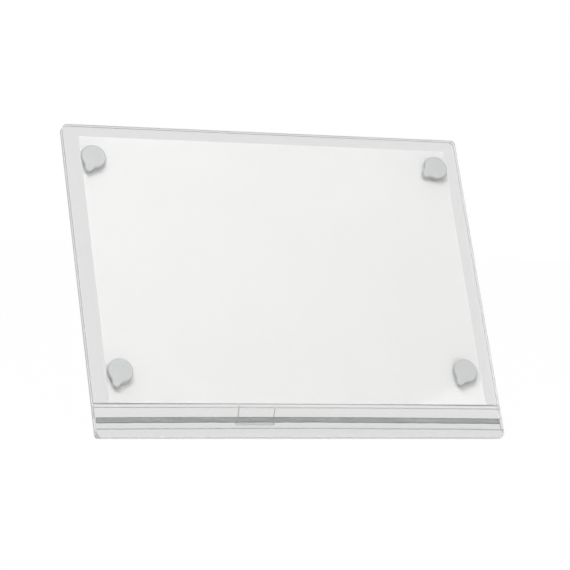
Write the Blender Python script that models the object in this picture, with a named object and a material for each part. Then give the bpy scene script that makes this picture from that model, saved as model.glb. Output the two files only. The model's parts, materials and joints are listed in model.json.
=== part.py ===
"""Clear leaning display stand: two acrylic layers round a white card, with four soft round pads,
a front bottom rail and a folding rear leg.

Metres, +Z up, +X to the viewer's right, the display face looks towards -Y.
Everything on the panel is laid out upright, with the front face at y = 0 and the bottom edge at
z = 0, and an empty leans it back. The leg is laid out along -Z from its hinge axis.
"""
import bpy
import bmesh
from math import cos, pi, radians, sin
from mathutils import Matrix, Vector

# ---------------------------------------------------------------- driving dimensions
LEAN = radians(26.0)            # panel's lean back from upright
LEG_RAKE = radians(14.0)        # open leg's rake back from upright
GAP = 0.0003                    # between touching pieces

PANEL_W = 0.320
PANEL_H = 0.2463
COVER_T = 0.0028
CARD_T = 0.0005
BACK_T = 0.0028
CORNER_R = 0.004
REST_FLAT = 0.0025              # chamfer leg along the bottom edge, level when the panel leans

CARD_W = 0.297
CARD_H = 0.212
CARD_SHIFT = 0.0013             # the card sits a little right of centre

RAIL_H = 0.0254
RAIL_CHANNEL_LOW = 0.0062
RAIL_CHANNEL_HIGH = 0.0151
RAIL_WALL_T = 0.0016
RAIL_BEAD_R = 0.0017
RAIL_BEAD_PROUD = 0.0006
TAPE_H = 0.0035
TAPE_INSET = 0.0015             # at each end of the rail

PAD_R = 0.0093
PAD_FRONT = 0.0035              # height of the pad's face above the cover
PAD_TAB_R = 0.0032
PAD_TAB_REACH = 0.0040          # how far the tab stands out of the disc
PAD_PLACES = {                  # name: x, height up the panel, direction of the tab in degrees
    "top_left": (-0.1392, 0.2191, 244.0),
    "top_right": (0.1386, 0.2209, 210.0),
    "bottom_left": (-0.1377, 0.0496, 248.0),
    "bottom_right": (0.1352, 0.0521, 238.0),
}
MAGNET_R = 0.005
MAGNET_T = 0.0018
KEEPER_R = 0.006
KEEPER_T = 0.0009

HINGE_UP = 0.150                # hinge axis, up the panel
HINGE_OUT = 0.0054              # hinge axis, behind the panel's back face
HINGE_W = 0.040
KNUCKLE_R = 0.003
CENTRE_KNUCKLE_W = 0.016
SIDE_GAP = 0.0004               # between knuckles
PIN_R = 0.0012
PIN_BORE_R = 0.0013
PIN_HEAD_R = 0.0021
PIN_HEAD_T = 0.0008
LEAF_T = 0.0015
FIXED_LEAF_H = 0.0236
FIXED_LEAF_START = 0.0034       # above the axis, clear of the centre knuckle
BOND_PAD_T = 0.0008
LEG_LEAF_W = 0.024
LEG_LEAF_END = 0.028
STOP_LUG_H = 0.0046
STOP_LUG_OFFSET = 0.0010

LEG_T = 0.003
LEG_TOP_W = 0.044
LEG_END_W = 0.028
LEG_START = 0.005               # below the axis
SCREW_X = 0.007
SCREW_DOWN = 0.018
SCREW_R = 0.0013
SCREW_HOLE_R = 0.0016
SCREW_HEAD_R = 0.0026
SCREW_HEAD_T = 0.0014
SCREW_DEPTH = 0.0041            # shank length under the head
FOOT_W = 0.030                  # soft strip under the leg's level end
FOOT_DEPTH = 0.007
FOOT_H = 0.0025

OVERCUT = 0.002                 # how far a cutting tool runs past the face it opens
FLOOR_HALF = 0.3
ROUND_STEPS = 48
SMALL_ROUND_STEPS = 32
ROUND_EDGE_STEPS = 6
SMOOTH_UNDER = radians(30.0)
SAME_PLACE = 1e-6

# ---------------------------------------------------------------- places that follow from them
CARD_FRONT = COVER_T + GAP
BACK_FRONT = CARD_FRONT + CARD_T + GAP
BACK_REAR = BACK_FRONT + BACK_T
RAIL_REAR = BACK_FRONT - GAP
COVER_BOTTOM = RAIL_H + GAP
AXIS_Y = BACK_REAR + HINGE_OUT
BOND_FRONT = BACK_REAR + GAP
FIXED_LEAF_FRONT = BOND_FRONT + BOND_PAD_T + GAP
STAND_DEPTH = BACK_REAR * cos(LEAN) + PANEL_H * sin(LEAN)
PANEL_LIFT = (BACK_REAR - REST_FLAT) * sin(LEAN)


def leaned(y, z):
    """World Y and Z of a point given in the panel's upright layout."""
    world_y = y * cos(LEAN) + z * sin(LEAN) - STAND_DEPTH / 2
    world_z = PANEL_LIFT - y * sin(LEAN) + z * cos(LEAN)
    return world_y, world_z


AXIS_WORLD = leaned(AXIS_Y, HINGE_UP)
LEG_MID_Y = -(LEAF_T / 2 + GAP + LEG_T / 2)
LEG_TO_FLOOR = (AXIS_WORLD[1] + LEG_MID_Y * sin(LEG_RAKE)) / cos(LEG_RAKE)

# ---------------------------------------------------------------- scene, collections, empties
for old in list(bpy.data.objects):
    bpy.data.objects.remove(old, do_unlink=True)

PARTS = bpy.data.collections.new("photo_album_stand")
CUTTERS = bpy.data.collections.new("cutters")
for made in (PARTS, CUTTERS):
    bpy.context.scene.collection.children.link(made)


def make_empty(name, location, turn_x):
    empty = bpy.data.objects.new(name, None)
    empty.location = location
    empty.rotation_euler = (turn_x, 0.0, 0.0)
    PARTS.objects.link(empty)
    return empty


PANEL_FRAME = make_empty("panel_frame", (0.0, -STAND_DEPTH / 2, PANEL_LIFT), -LEAN)
LEG_FRAME = make_empty("leg_frame", (0.0, AXIS_WORLD[0], AXIS_WORLD[1]), LEG_RAKE)


# ---------------------------------------------------------------- materials
def make_material(name, colour, roughness, metallic=0.0, alpha=1.0, transmission=0.0):
    material = bpy.data.materials.new(name)
    material.use_nodes = True
    shader = material.node_tree.nodes["Principled BSDF"]
    shader.inputs["Base Color"].default_value = (*colour, 1.0)
    shader.inputs["Roughness"].default_value = roughness
    shader.inputs["Metallic"].default_value = metallic
    shader.inputs["Alpha"].default_value = alpha
    shader.inputs["Transmission Weight"].default_value = transmission
    material.diffuse_color = (*colour, alpha)
    return material


CLEAR = make_material("clear_acrylic", (0.88, 0.91, 0.90), 0.05, alpha=0.35, transmission=1.0)
WHITE_CARD = make_material("white_card", (0.86, 0.86, 0.86), 0.6)
SOFT_GREY = make_material("soft_grey_rubber", (0.62, 0.65, 0.64), 0.7)
TAPE_GREY = make_material("grey_foam_tape", (0.32, 0.34, 0.34), 0.8)
STEEL = make_material("bright_steel", (0.72, 0.72, 0.73), 0.3, metallic=1.0)
NICKEL = make_material("nickel_plate", (0.66, 0.65, 0.63), 0.25, metallic=1.0)
CLEAR_RUBBER = make_material("clear_rubber", (0.80, 0.82, 0.81), 0.45, alpha=0.6)


# ---------------------------------------------------------------- building blocks
def add_mesh(name, bm, material, parent, smooth=False):
    mesh = bpy.data.meshes.new(name)
    bm.normal_update()
    bm.to_mesh(mesh)
    bm.free()
    obj = bpy.data.objects.new(name, mesh)
    obj.parent = parent
    if material:
        mesh.materials.append(material)
        PARTS.objects.link(obj)
    else:
        CUTTERS.objects.link(obj)
        obj.hide_render = True
        obj.display_type = "WIRE"
    if smooth:
        mesh.shade_smooth()
        mesh.set_sharp_from_angle(angle=SMOOTH_UNDER)
    return obj


def box_mesh(low, high):
    """A bmesh box between two corners."""
    bm = bmesh.new()
    bmesh.ops.create_cube(bm, size=1.0)
    low, high = Vector(low), Vector(high)
    size = high - low
    bmesh.ops.scale(bm, vec=size, verts=bm.verts)
    bmesh.ops.translate(bm, vec=(low + high) / 2, verts=bm.verts)
    return bm


def round_depth_edges(bm, radius, keep):
    """Round the edges that run along Y and pass the keep test, in the plane of the panel."""
    edges = []
    for edge in bm.edges:
        a, b = edge.verts[0].co, edge.verts[1].co
        if abs(a.x - b.x) < SAME_PLACE and abs(a.z - b.z) < SAME_PLACE and keep(a):
            edges.append(edge)
    bmesh.ops.bevel(bm, geom=edges, offset=radius, segments=ROUND_EDGE_STEPS, profile=0.5,
                    affect="EDGES", material=-1)


def rod_mesh(radius, start, end, steps):
    """A bmesh cylinder from start to end."""
    bm = bmesh.new()
    start, end = Vector(start), Vector(end)
    along = end - start
    turn = along.to_track_quat("Z", "Y").to_matrix().to_4x4()
    place = Matrix.Translation((start + end) / 2) @ turn
    bmesh.ops.create_cone(bm, cap_ends=True, segments=steps, radius1=radius, radius2=radius,
                          depth=along.length, matrix=place)
    return bm


def boolean(obj, other, operation):
    modifier = obj.modifiers.new(f"{operation.lower()}_{other.name}", "BOOLEAN")
    modifier.operation = operation
    modifier.solver = "EXACT"
    modifier.object = other


def cut_box(obj, name, low, high, parent):
    boolean(obj, add_mesh(name, box_mesh(low, high), None, parent), "DIFFERENCE")


def cut_rod(obj, name, radius, start, end, steps, parent):
    boolean(obj, add_mesh(name, rod_mesh(radius, start, end, steps), None, parent), "DIFFERENCE")


def join_box(obj, name, low, high, parent):
    boolean(obj, add_mesh(name, box_mesh(low, high), None, parent), "UNION")


def join_rod(obj, name, radius, start, end, steps, parent):
    boolean(obj, add_mesh(name, rod_mesh(radius, start, end, steps), None, parent), "UNION")


def level_slab(name, low, high):
    """A wide level slab between two heights above the floor, to cut with."""
    bm = box_mesh((-FLOOR_HALF, -FLOOR_HALF, low), (FLOOR_HALF, FLOOR_HALF, high))
    return add_mesh(name, bm, None, None)


FLOOR = level_slab("floor_cut", -FLOOR_HALF, 0.0)
UNDER_LEG = level_slab("leg_end_cut", -FLOOR_HALF, FOOT_H + GAP)
ABOVE_FOOT = level_slab("foot_top_cut", FOOT_H, FLOOR_HALF)


# ---------------------------------------------------------------- the panel
def build_back_panel():
    bm = box_mesh((-PANEL_W / 2, BACK_FRONT, 0.0), (PANEL_W / 2, BACK_REAR, PANEL_H))
    round_depth_edges(bm, CORNER_R, lambda co: True)
    panel = add_mesh("back_panel", bm, CLEAR, PANEL_FRAME)
    boolean(panel, FLOOR, "DIFFERENCE")
    for place, (x, up, _) in PAD_PLACES.items():
        cut_rod(panel, f"keeper_pocket_{place}", KEEPER_R + GAP, (x, BACK_FRONT - OVERCUT, up),
                (x, BACK_FRONT + KEEPER_T + 2 * GAP, up), ROUND_STEPS, PANEL_FRAME)


def build_keepers():
    front = BACK_FRONT + GAP / 2
    for place, (x, up, _) in PAD_PLACES.items():
        bm = rod_mesh(KEEPER_R, (x, front, up), (x, front + KEEPER_T, up), ROUND_STEPS)
        add_mesh(f"keeper_disc_{place}", bm, STEEL, PANEL_FRAME, smooth=True)


def build_rail():
    bm = box_mesh((-PANEL_W / 2, 0.0, 0.0), (PANEL_W / 2, RAIL_REAR, RAIL_H))
    round_depth_edges(bm, CORNER_R, lambda co: co.z < RAIL_H / 2)
    rail = add_mesh("bottom_rail", bm, CLEAR, PANEL_FRAME)
    past_end = PANEL_W / 2 + OVERCUT
    cut_box(rail, "rail_channel", (-past_end, RAIL_WALL_T, RAIL_CHANNEL_LOW),
            (past_end, RAIL_REAR + OVERCUT, RAIL_CHANNEL_HIGH), PANEL_FRAME)
    bead_y = RAIL_BEAD_R - RAIL_BEAD_PROUD
    bead_z = RAIL_H - RAIL_BEAD_R
    join_rod(rail, "rail_bead", RAIL_BEAD_R, (-PANEL_W / 2, bead_y, bead_z),
             (PANEL_W / 2, bead_y, bead_z), SMALL_ROUND_STEPS, PANEL_FRAME)


def build_tape():
    half = PANEL_W / 2 - TAPE_INSET
    low = (-half, RAIL_WALL_T + GAP, RAIL_CHANNEL_HIGH - GAP - TAPE_H)
    high = (half, BACK_FRONT - GAP, RAIL_CHANNEL_HIGH - GAP)
    add_mesh("rail_bond_tape", box_mesh(low, high), TAPE_GREY, PANEL_FRAME)


def build_cover_and_card():
    bm = box_mesh((-PANEL_W / 2, 0.0, COVER_BOTTOM), (PANEL_W / 2, COVER_T, PANEL_H))
    round_depth_edges(bm, CORNER_R, lambda co: co.z > PANEL_H / 2)
    add_mesh("front_cover", bm, CLEAR, PANEL_FRAME)
    left = CARD_SHIFT - CARD_W / 2
    bm = box_mesh((left, CARD_FRONT, COVER_BOTTOM),
                  (left + CARD_W, CARD_FRONT + CARD_T, COVER_BOTTOM + CARD_H))
    add_mesh("display_card", bm, WHITE_CARD, PANEL_FRAME)


# ---------------------------------------------------------------- pads and their magnets
def build_pad(place, x, up, tab_degrees):
    bm = rod_mesh(PAD_R, (x, -GAP, up), (x, -PAD_FRONT, up), ROUND_STEPS)
    pad = add_mesh(f"pad_{place}", bm, SOFT_GREY, PANEL_FRAME, smooth=True)
    reach = PAD_R + PAD_TAB_REACH - PAD_TAB_R
    tab_x = x + reach * cos(radians(tab_degrees))
    tab_z = up + reach * sin(radians(tab_degrees))
    join_rod(pad, f"pad_tab_{place}", PAD_TAB_R, (tab_x, -GAP, tab_z), (tab_x, -PAD_FRONT, tab_z),
             SMALL_ROUND_STEPS, PANEL_FRAME)
    magnet_rear = -GAP
    magnet_front = magnet_rear - MAGNET_T
    cut_rod(pad, f"magnet_pocket_{place}", MAGNET_R + GAP, (x, GAP, up),
            (x, magnet_front - GAP, up), SMALL_ROUND_STEPS, PANEL_FRAME)
    bm = rod_mesh(MAGNET_R, (x, magnet_rear, up), (x, magnet_front, up), SMALL_ROUND_STEPS)
    add_mesh(f"magnet_{place}", bm, NICKEL, PANEL_FRAME, smooth=True)


# ---------------------------------------------------------------- hinge and leg
def build_fixed_leaf():
    half = HINGE_W / 2
    plate_low = HINGE_UP + FIXED_LEAF_START
    bond = box_mesh((-half, BOND_FRONT, plate_low),
                    (half, BOND_FRONT + BOND_PAD_T, plate_low + FIXED_LEAF_H))
    add_mesh("hinge_bond_pad", bond, TAPE_GREY, PANEL_FRAME)

    rear = FIXED_LEAF_FRONT + LEAF_T
    plate = box_mesh((-half, FIXED_LEAF_FRONT, plate_low), (half, rear, plate_low + FIXED_LEAF_H))
    leaf = add_mesh("hinge_leaf_fixed", plate, STEEL, PANEL_FRAME)
    inner = CENTRE_KNUCKLE_W / 2 + SIDE_GAP
    for side, name in ((-1, "left"), (1, "right")):
        ends = sorted((side * inner, side * half))
        join_box(leaf, f"fixed_ear_{name}", (ends[0], FIXED_LEAF_FRONT, HINGE_UP),
                 (ends[1], rear, plate_low + OVERCUT), PANEL_FRAME)
        join_rod(leaf, f"fixed_knuckle_{name}", KNUCKLE_R, (ends[0], AXIS_Y, HINGE_UP),
                 (ends[1], AXIS_Y, HINGE_UP), SMALL_ROUND_STEPS, PANEL_FRAME)
    past_end = half + OVERCUT
    cut_rod(leaf, "fixed_bore", PIN_BORE_R, (-past_end, AXIS_Y, HINGE_UP),
            (past_end, AXIS_Y, HINGE_UP), SMALL_ROUND_STEPS, PANEL_FRAME)


def build_pin():
    half = HINGE_W / 2 + GAP
    bm = rod_mesh(PIN_R, (-half - PIN_HEAD_T / 2, AXIS_Y, HINGE_UP),
                  (half + PIN_HEAD_T / 2, AXIS_Y, HINGE_UP), SMALL_ROUND_STEPS)
    pin = add_mesh("hinge_pin", bm, STEEL, PANEL_FRAME, smooth=True)
    for side, name in ((-1, "left"), (1, "right")):
        join_rod(pin, f"pin_head_{name}", PIN_HEAD_R, (side * half, AXIS_Y, HINGE_UP),
                 (side * (half + PIN_HEAD_T), AXIS_Y, HINGE_UP), SMALL_ROUND_STEPS, PANEL_FRAME)


def cut_screw_holes(obj, name):
    for side, place in ((-1, "left"), (1, "right")):
        cut_rod(obj, f"{name}_{place}", SCREW_HOLE_R, (side * SCREW_X, -LEG_T * 2, -SCREW_DOWN),
                (side * SCREW_X, LEG_T * 2, -SCREW_DOWN), SMALL_ROUND_STEPS, LEG_FRAME)


def build_leg_leaf():
    half = CENTRE_KNUCKLE_W / 2
    plate_top = -(KNUCKLE_R + GAP)
    plate = box_mesh((-LEG_LEAF_W / 2, -LEAF_T / 2, -LEG_LEAF_END),
                     (LEG_LEAF_W / 2, LEAF_T / 2, plate_top))
    leaf = add_mesh("hinge_leaf_leg", plate, STEEL, LEG_FRAME)
    join_box(leaf, "leg_leaf_neck", (-half, -LEAF_T / 2, plate_top - OVERCUT),
             (half, LEAF_T / 2, 0.0), LEG_FRAME)
    join_rod(leaf, "leg_knuckle", KNUCKLE_R, (-half, 0.0, 0.0), (half, 0.0, 0.0),
             SMALL_ROUND_STEPS, LEG_FRAME)
    join_box(leaf, "stop_lug", (-half, STOP_LUG_OFFSET, 0.0),
             (half, STOP_LUG_OFFSET + LEAF_T, STOP_LUG_H), LEG_FRAME)
    past_end = half + OVERCUT
    cut_rod(leaf, "leg_bore", PIN_BORE_R, (-past_end, 0.0, 0.0), (past_end, 0.0, 0.0),
            SMALL_ROUND_STEPS, LEG_FRAME)
    cut_screw_holes(leaf, "leaf_screw_hole")


def build_leg():
    """The leg narrows towards the floor, and its end is cut level."""
    rear = -(LEAF_T / 2 + GAP)
    bm = box_mesh((-LEG_TOP_W / 2, rear - LEG_T, -LEG_TO_FLOOR), (LEG_TOP_W / 2, rear, -LEG_START))
    for vert in bm.verts:
        if vert.co.z < -LEG_TO_FLOOR / 2:
            vert.co.x *= LEG_END_W / LEG_TOP_W
    round_depth_edges(bm, CORNER_R, lambda co: co.z > -LEG_TO_FLOOR / 2)
    leg = add_mesh("support_leg", bm, CLEAR, LEG_FRAME)
    cut_screw_holes(leg, "leg_screw_hole")
    boolean(leg, UNDER_LEG, "DIFFERENCE")


def build_screw(place, x):
    head_rear = LEAF_T / 2 + GAP
    profile = [(0.0, SCREW_HEAD_T), (SCREW_HEAD_R / 2, SCREW_HEAD_T),
               (SCREW_HEAD_R, SCREW_HEAD_T / 2), (SCREW_HEAD_R, 0.0), (SCREW_R, 0.0),
               (SCREW_R, -SCREW_DEPTH), (0.0, -SCREW_DEPTH)]
    bm = bmesh.new()
    points = [bm.verts.new((x + radius, head_rear + out, -SCREW_DOWN)) for radius, out in profile]
    edges = [bm.edges.new(pair) for pair in zip(points, points[1:])]
    bmesh.ops.spin(bm, geom=points + edges, cent=(x, 0.0, -SCREW_DOWN), axis=(0.0, 1.0, 0.0),
                   angle=2 * pi, steps=SMALL_ROUND_STEPS, use_merge=True)
    bmesh.ops.remove_doubles(bm, verts=bm.verts, dist=SAME_PLACE)
    bmesh.ops.recalc_face_normals(bm, faces=bm.faces)
    add_mesh(f"leg_screw_{place}", bm, STEEL, LEG_FRAME, smooth=True)


def build_foot():
    """A level strip under the leg's end."""
    low = (-FOOT_W / 2, LEG_MID_Y - FOOT_DEPTH / 2, -LEG_TO_FLOOR - FOOT_DEPTH)
    high = (FOOT_W / 2, LEG_MID_Y + FOOT_DEPTH / 2, -LEG_TO_FLOOR + FOOT_DEPTH)
    foot = add_mesh("leg_foot", box_mesh(low, high), CLEAR_RUBBER, LEG_FRAME)
    boolean(foot, FLOOR, "DIFFERENCE")
    boolean(foot, ABOVE_FOOT, "DIFFERENCE")


build_back_panel()
build_keepers()
build_rail()
build_tape()
build_cover_and_card()
for pad_place, (pad_x, pad_up, pad_tab) in PAD_PLACES.items():
    build_pad(pad_place, pad_x, pad_up, pad_tab)
build_fixed_leaf()
build_pin()
build_leg_leaf()
build_leg()
build_screw("left", -SCREW_X)
build_screw("right", SCREW_X)
build_foot()
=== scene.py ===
"""Finish of the clear leaning display stand: two clear acrylic layers with a white sheet between
them, four soft grey corner pads, the channelled bottom rail and the folding rear leg."""
import json
from math import asin, atan2, cos, pi, radians, sin

import bmesh
import bpy
from mathutils import Matrix, Vector


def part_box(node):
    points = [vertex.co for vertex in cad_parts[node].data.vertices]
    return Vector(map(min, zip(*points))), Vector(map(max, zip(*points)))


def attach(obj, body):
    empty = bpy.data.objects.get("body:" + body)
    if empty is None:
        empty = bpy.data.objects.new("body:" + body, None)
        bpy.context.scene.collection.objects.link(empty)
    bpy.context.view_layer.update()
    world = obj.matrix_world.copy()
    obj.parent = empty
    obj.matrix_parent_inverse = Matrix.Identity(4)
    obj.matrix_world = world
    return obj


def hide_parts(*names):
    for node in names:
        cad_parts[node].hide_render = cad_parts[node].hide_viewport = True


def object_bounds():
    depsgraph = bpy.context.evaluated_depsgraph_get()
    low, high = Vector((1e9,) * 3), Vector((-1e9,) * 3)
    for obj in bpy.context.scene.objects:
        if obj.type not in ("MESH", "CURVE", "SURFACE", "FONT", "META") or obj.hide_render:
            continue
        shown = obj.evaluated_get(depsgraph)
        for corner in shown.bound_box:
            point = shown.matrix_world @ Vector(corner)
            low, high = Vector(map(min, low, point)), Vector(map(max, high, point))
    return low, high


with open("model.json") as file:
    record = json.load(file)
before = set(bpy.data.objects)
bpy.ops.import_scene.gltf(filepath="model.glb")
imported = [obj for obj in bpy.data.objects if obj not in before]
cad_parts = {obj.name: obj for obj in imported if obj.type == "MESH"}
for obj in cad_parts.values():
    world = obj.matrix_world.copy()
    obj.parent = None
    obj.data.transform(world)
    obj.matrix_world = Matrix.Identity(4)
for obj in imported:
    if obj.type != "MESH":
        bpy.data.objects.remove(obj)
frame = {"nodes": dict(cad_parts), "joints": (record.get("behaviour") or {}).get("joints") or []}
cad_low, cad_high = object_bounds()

# ---------------------------------------------------------------- layout
# The panel is modelled upright, front towards -Y and up along Z, then leaned back into its place.
# The leg is modelled along -Z from the hinge axis, then raked.
JOINTS = {joint["name"]: joint for joint in frame["joints"]}
FACE_OUT = Vector(JOINTS["cover_lift_off"]["axis"])
LEAN = asin(FACE_OUT.z)
LEG_RAKE = radians(14.0)
HINGE_AXIS = Vector(JOINTS["leg_fold"]["pos_m"])
PANEL_PLACE = Matrix.Rotation(-LEAN, 4, "X")
LEG_PLACE = Matrix.Translation(HINGE_AXIS) @ Matrix.Rotation(LEG_RAKE, 4, "X")


def laid_box(node, place=PANEL_PLACE):
    """A CAD node's lowest and highest corner in the upright layout it was drawn in."""
    back = place.inverted()
    points = [back @ vert.co for vert in frame["nodes"][node].data.vertices]
    low = Vector(tuple(min(point[i] for point in points) for i in range(3)))
    high = Vector(tuple(max(point[i] for point in points) for i in range(3)))
    return low, high


CORNER_R = 0.004
ARRIS = 0.00022                 # width of the bevel along the acrylic's edges
GAP = 0.0003                    # between pieces that lie against each other
WELD = 1e-6                     # points nearer than this become one
ON_PLANE = 1e-5                 # a point this near a plane lies on it
FINE = 1e-7                     # for plane cuts and the seams of turned pieces
FLAT = radians(0.5)             # faces that meet at less than this become one
COVER_LOW, COVER_HIGH = laid_box("front_cover")
BACK_LOW, BACK_HIGH = laid_box("back_panel")
RAIL_LOW, RAIL_HIGH = laid_box("bottom_rail")
CARD_LOW, CARD_HIGH = laid_box("display_card")
TAPE_LOW, TAPE_HIGH = laid_box("rail_bond_tape")
AXIS_LAID = PANEL_PLACE.inverted() @ HINGE_AXIS
HALF_W = BACK_HIGH.x
PLACES = ("top_left", "top_right", "bottom_left", "bottom_right")


# ---------------------------------------------------------------- shader building blocks
def add_node(tree, kind, **settings):
    node = tree.nodes.new(kind)
    for key, value in settings.items():
        setattr(node, key, value)
    return node


def put(node, **values):
    """Sets a node's unlinked inputs. A name's underscores stand for spaces."""
    for key, value in values.items():
        node.inputs[key.replace("_", " ")].default_value = value
    return node


def new_group(name, inputs, outputs):
    tree = bpy.data.node_groups.new(name, "ShaderNodeTree")
    for label, kind, value in inputs:
        socket = tree.interface.new_socket(label, in_out="INPUT", socket_type=kind)
        if value is not None:
            socket.default_value = value
    for label, kind in outputs:
        tree.interface.new_socket(label, in_out="OUTPUT", socket_type=kind)
    return tree, tree.nodes.new("NodeGroupInput"), tree.nodes.new("NodeGroupOutput")


def handling_marks_group():
    """Soft smudges and sparse hairline scratches on a polished surface."""
    tree, given, made = new_group(
        "handling_marks",
        [("Vector", "NodeSocketVector", None), ("Smudge Size", "NodeSocketFloat", 30.0),
         ("Clean Roughness", "NodeSocketFloat", 0.0), ("Marked Roughness", "NodeSocketFloat", 0.05)],
        [("Roughness", "NodeSocketFloat"), ("Height", "NodeSocketFloat")])
    link = tree.links.new
    smudge = put(add_node(tree, "ShaderNodeTexNoise"), Detail=4.0, Roughness=0.55)
    link(given.outputs["Vector"], smudge.inputs["Vector"])
    link(given.outputs["Smudge Size"], smudge.inputs["Scale"])
    spread = put(add_node(tree, "ShaderNodeMapRange"), From_Min=0.52, From_Max=0.78)
    link(smudge.outputs["Fac"], spread.inputs["Value"])
    turned = put(add_node(tree, "ShaderNodeMapping"), Rotation=(0.3, 0.9, 0.5),
                 Scale=(9.0, 220.0, 220.0))
    link(given.outputs["Vector"], turned.inputs["Vector"])
    hairs = put(add_node(tree, "ShaderNodeTexNoise"), Scale=6.0, Detail=2.0)
    link(turned.outputs["Vector"], hairs.inputs["Vector"])
    sparse = put(add_node(tree, "ShaderNodeMapRange"), From_Min=0.70, From_Max=0.76)
    link(hairs.outputs["Fac"], sparse.inputs["Value"])
    both = add_node(tree, "ShaderNodeMath", operation="MAXIMUM")
    link(spread.outputs["Result"], both.inputs[0])
    link(sparse.outputs["Result"], both.inputs[1])
    rough = add_node(tree, "ShaderNodeMapRange")
    link(both.outputs["Value"], rough.inputs["Value"])
    link(given.outputs["Clean Roughness"], rough.inputs["To Min"])
    link(given.outputs["Marked Roughness"], rough.inputs["To Max"])
    link(rough.outputs["Result"], made.inputs["Roughness"])
    link(sparse.outputs["Result"], made.inputs["Height"])
    return tree


def fine_grain_group():
    """Two sizes of soft grain for card, rubber and foam, with a tone that drifts slowly."""
    tree, given, made = new_group(
        "fine_grain",
        [("Vector", "NodeSocketVector", None), ("Grain Size", "NodeSocketFloat", 900.0),
         ("Drift Size", "NodeSocketFloat", 12.0)],
        [("Grain", "NodeSocketFloat"), ("Drift", "NodeSocketFloat")])
    link = tree.links.new
    fine = put(add_node(tree, "ShaderNodeTexNoise"), Detail=3.0, Roughness=0.6)
    link(given.outputs["Vector"], fine.inputs["Vector"])
    link(given.outputs["Grain Size"], fine.inputs["Scale"])
    pores = add_node(tree, "ShaderNodeTexVoronoi")
    link(given.outputs["Vector"], pores.inputs["Vector"])
    link(given.outputs["Grain Size"], pores.inputs["Scale"])
    mixed = add_node(tree, "ShaderNodeMath", operation="MULTIPLY_ADD")
    link(pores.outputs["Distance"], mixed.inputs[0])
    mixed.inputs[1].default_value = 0.4
    link(fine.outputs["Fac"], mixed.inputs[2])
    drift = put(add_node(tree, "ShaderNodeTexNoise"), Detail=2.0)
    link(given.outputs["Vector"], drift.inputs["Vector"])
    link(given.outputs["Drift Size"], drift.inputs["Scale"])
    link(mixed.outputs["Value"], made.inputs["Grain"])
    link(drift.outputs["Fac"], made.inputs["Drift"])
    return tree


def edge_wear_group():
    """A mask that is 1 along convex edges, broken up by noise."""
    tree, given, made = new_group(
        "edge_wear",
        [("Vector", "NodeSocketVector", None), ("Break Size", "NodeSocketFloat", 400.0)],
        [("Wear", "NodeSocketFloat")])
    link = tree.links.new
    point = add_node(tree, "ShaderNodeNewGeometry")
    sharp = put(add_node(tree, "ShaderNodeMapRange"), From_Min=0.52, From_Max=0.62)
    link(point.outputs["Pointiness"], sharp.inputs["Value"])
    breaks = put(add_node(tree, "ShaderNodeTexNoise"), Detail=3.0)
    link(given.outputs["Vector"], breaks.inputs["Vector"])
    link(given.outputs["Break Size"], breaks.inputs["Scale"])
    kept = put(add_node(tree, "ShaderNodeMapRange"), From_Min=0.35, From_Max=0.6)
    link(breaks.outputs["Fac"], kept.inputs["Value"])
    product = add_node(tree, "ShaderNodeMath", operation="MULTIPLY")
    link(sharp.outputs["Result"], product.inputs[0])
    link(kept.outputs["Result"], product.inputs[1])
    link(product.outputs["Value"], made.inputs["Wear"])
    return tree


HANDLING_MARKS = handling_marks_group()
FINE_GRAIN = fine_grain_group()
EDGE_WEAR = edge_wear_group()


def place_group(tree, group, vector, **values):
    node = add_node(tree, "ShaderNodeGroup", node_tree=group)
    tree.links.new(vector, node.inputs["Vector"])
    return put(node, **values)


def new_material(name):
    material = bpy.data.materials.new(name)
    material.use_nodes = True
    tree = material.node_tree
    vector = add_node(tree, "ShaderNodeTexCoord").outputs["Object"]
    return material, tree, tree.nodes["Principled BSDF"], vector


def bump_into(tree, shader, height, distance):
    bump = put(add_node(tree, "ShaderNodeBump"), Distance=distance, Strength=1.0)
    tree.links.new(height, bump.inputs["Height"])
    tree.links.new(bump.outputs["Normal"], shader.inputs["Normal"])


def tone_between(tree, factor, dark, light):
    """A colour between two, by a factor that changes over the surface."""
    mix = add_node(tree, "ShaderNodeMix", data_type="RGBA")
    tree.links.new(factor, mix.inputs["Factor"])
    mix.inputs["A"].default_value = (*dark, 1.0)
    mix.inputs["B"].default_value = (*light, 1.0)
    return mix.outputs["Result"]


# ---------------------------------------------------------------- materials
ACRYLIC_IOR = 1.491


def let_lamps_through(tree, shader, tint):
    """Lamps reach what is behind the clear plastic."""
    rays = add_node(tree, "ShaderNodeLightPath")
    through = add_node(tree, "ShaderNodeBsdfTransparent")
    through.inputs["Color"].default_value = (*tint, 1.0)
    mix = add_node(tree, "ShaderNodeMixShader")
    tree.links.new(rays.outputs["Is Shadow Ray"], mix.inputs["Fac"])
    tree.links.new(shader.outputs["BSDF"], mix.inputs[1])
    tree.links.new(through.outputs["BSDF"], mix.inputs[2])
    tree.links.new(mix.outputs["Shader"], tree.nodes["Material Output"].inputs["Surface"])


def clear_acrylic(name, tint, clean, marked):
    """The polished faces of the clear sheet."""
    material, tree, shader, vector = new_material(name)
    shader.inputs["Base Color"].default_value = (*tint, 1.0)
    shader.inputs["Transmission Weight"].default_value = 1.0
    shader.inputs["IOR"].default_value = ACRYLIC_IOR
    marks = place_group(tree, HANDLING_MARKS, vector, Smudge_Size=26.0, Clean_Roughness=clean,
                        Marked_Roughness=marked)
    tree.links.new(marks.outputs["Roughness"], shader.inputs["Roughness"])
    bump_into(tree, shader, marks.outputs["Height"], 0.0000005)
    let_lamps_through(tree, shader, (0.94, 0.94, 0.938))
    return material


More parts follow.
